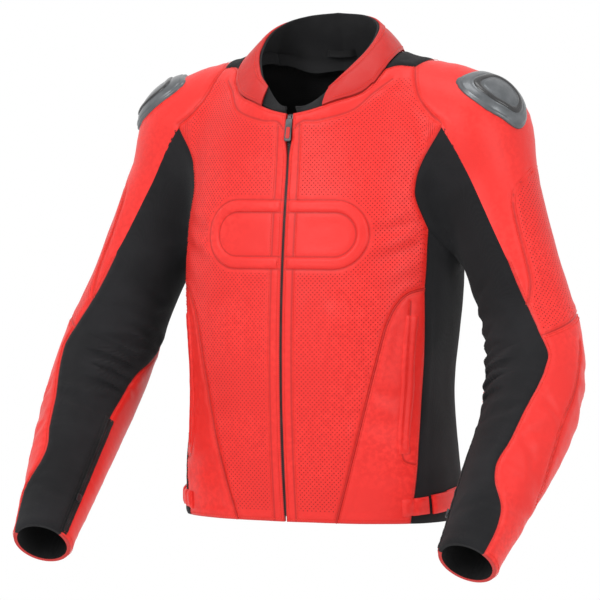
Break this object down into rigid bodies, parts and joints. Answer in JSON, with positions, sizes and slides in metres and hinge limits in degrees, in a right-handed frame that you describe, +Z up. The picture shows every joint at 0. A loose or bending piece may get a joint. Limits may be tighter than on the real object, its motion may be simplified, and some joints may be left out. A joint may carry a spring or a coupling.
{
  "type": "leather riding jacket",
  "caption": "Fitted short riding jacket of red leather with black stretch panels, hard shoulder cups, standing collar, front zip, cuff zips and waist straps.",
  "frame": {"origin": "where a hook holds the hanger loop, inside the back of the neck", "axes": "+X to the wearer's left, -Y to the front, +Z up"},
  "size_m": [0.7442, 0.389, 0.7074],
  "materials": {
    "perforated_leather": "scarlet cowhide with small punched holes, semi-matt",
    "red_leather": "smooth scarlet cowhide, soft sheen",
    "stretch_panel": "fine black woven stretch fabric, matt",
    "lining": "black mesh lining",
    "shoulder_cup": "dark grey moulded shell, brushed look",
    "cup_inlay": "black moulded ring",
    "zip_metal": "black-painted zinc",
    "zip_tape": "black woven tape with moulded teeth",
    "armour_foam": "soft dark armour foam"
  },
  "bodies": {
    "shell": {"front_panel_left": "perforated_leather", "front_panel_right": "perforated_leather", "lower_front_left": "red_leather", "lower_front_right": "red_leather", "side_stretch_left": "stretch_panel", "side_stretch_right": "stretch_panel", "yoke_stretch_left": "stretch_panel", "yoke_stretch_right": "stretch_panel", "underarm_stretch_left": "stretch_panel", "underarm_stretch_right": "stretch_panel", "shoulder_panel_left": "red_leather", "shoulder_panel_right": "red_leather", "chest_band_left": "red_leather", "chest_band_right": "red_leather", "pocket_welt_left": "red_leather", "pocket_welt_right": "red_leather", "waist_strap_left": "red_leather", "waist_strap_right": "red_leather", "strap_anchor_left": "red_leather", "strap_anchor_right": "red_leather", "shoulder_cup_left": "shoulder_cup", "shoulder_cup_right": "shoulder_cup", "cup_inlay_left": "cup_inlay", "cup_inlay_right": "cup_inlay", "front_zip_left": "zip_tape", "front_zip_right": "zip_tape", "back_panel": "perforated_leather", "lumbar_stretch": "stretch_panel", "back_hem_panel": "red_leather", "collar_outer": "red_leather", "collar_lining": "lining", "body_lining": "lining", "back_protector": "armour_foam", "connection_zip": "zip_tape", "hanger_loop": "zip_tape"},
    "front_slider": {"front_zip_slider": "zip_metal"},
    "front_pull": {"front_zip_pull": "zip_metal"},
    "upper_arm_left": {"shoulder_flex_left": "stretch_panel", "upper_sleeve_stretch_left": "stretch_panel", "upper_sleeve_outer_left": "red_leather", "elbow_flex_left": "perforated_leather"},
    "forearm_left": {"forearm_stretch_left": "stretch_panel", "forearm_outer_left": "red_leather", "elbow_armour_left": "armour_foam", "cuff_zip_left": "zip_tape"},
    "cuff_slider_left": {"cuff_zip_slider_left": "zip_metal"},
    "tab_left": {"strap_tab_left": "red_leather"},
    "upper_arm_right": {"shoulder_flex_right": "stretch_panel", "upper_sleeve_stretch_right": "stretch_panel", "upper_sleeve_outer_right": "red_leather", "elbow_flex_right": "perforated_leather"},
    "forearm_right": {"forearm_stretch_right": "stretch_panel", "forearm_outer_right": "red_leather", "elbow_armour_right": "armour_foam", "cuff_zip_right": "zip_tape"},
    "cuff_slider_right": {"cuff_zip_slider_right": "zip_metal"},
    "tab_right": {"strap_tab_right": "red_leather"}
  },
  "joints": [
    {"name": "front_zip_travel", "type": "hinge", "parent": "shell", "child": "front_slider", "pos_m": [0, 1.217, -0.395], "axis": [1, 0, 0], "range_deg": [0, 20.4]},
    {"name": "front_pull_flip", "type": "hinge", "parent": "front_slider", "child": "front_pull", "pos_m": [0, -0.15557, -0.09165], "axis": [-1, 0, 0], "range_deg": [0, 150]},
    {"name": "shoulder_swing_left", "type": "hinge", "parent": "shell", "child": "upper_arm_left", "pos_m": [0.196, -0.021, -0.108], "axis": [-1, 0, 0], "range_deg": [-10, 18], "deforming": ["shoulder_flex_left"]},
    {"name": "elbow_bend_left", "type": "hinge", "parent": "upper_arm_left", "child": "forearm_left", "pos_m": [0.30746, -0.08284, -0.41692], "axis": [-0.7884, 0.4829, -0.3811], "range_deg": [-12, 35], "deforming": ["elbow_flex_left"]},
    {"name": "cuff_zip_slide_left", "type": "slide", "parent": "forearm_left", "child": "cuff_slider_left", "axis": [-0.0099, 0.6754, 0.7373], "range_m": [0, 0.1]},
    {"name": "strap_tab_peel_left", "type": "hinge", "parent": "shell", "child": "tab_left", "pos_m": [0.17715, -0.1045, -0.58401], "axis": [0, 0, -1], "range_deg": [0, 100]},
    {"name": "shoulder_swing_right", "type": "hinge", "parent": "shell", "child": "upper_arm_right", "pos_m": [-0.196, -0.021, -0.108], "axis": [-1, 0, 0], "range_deg": [-10, 18], "deforming": ["shoulder_flex_right"]},
    {"name": "elbow_bend_right", "type": "hinge", "parent": "upper_arm_right", "child": "forearm_right", "pos_m": [-0.30746, -0.08284, -0.41692], "axis": [-0.7884, -0.4829, 0.3811], "range_deg": [-12, 35], "deforming": ["elbow_flex_right"]},
    {"name": "cuff_zip_slide_right", "type": "slide", "parent": "forearm_right", "child": "cuff_slider_right", "axis": [0.0099, 0.6754, 0.7373], "range_m": [0, 0.1]},
    {"name": "strap_tab_peel_right", "type": "hinge", "parent": "shell", "child": "tab_right", "pos_m": [-0.17715, -0.1045, -0.58401], "axis": [0, 0, 1], "range_deg": [0, 100]}
  ]
}
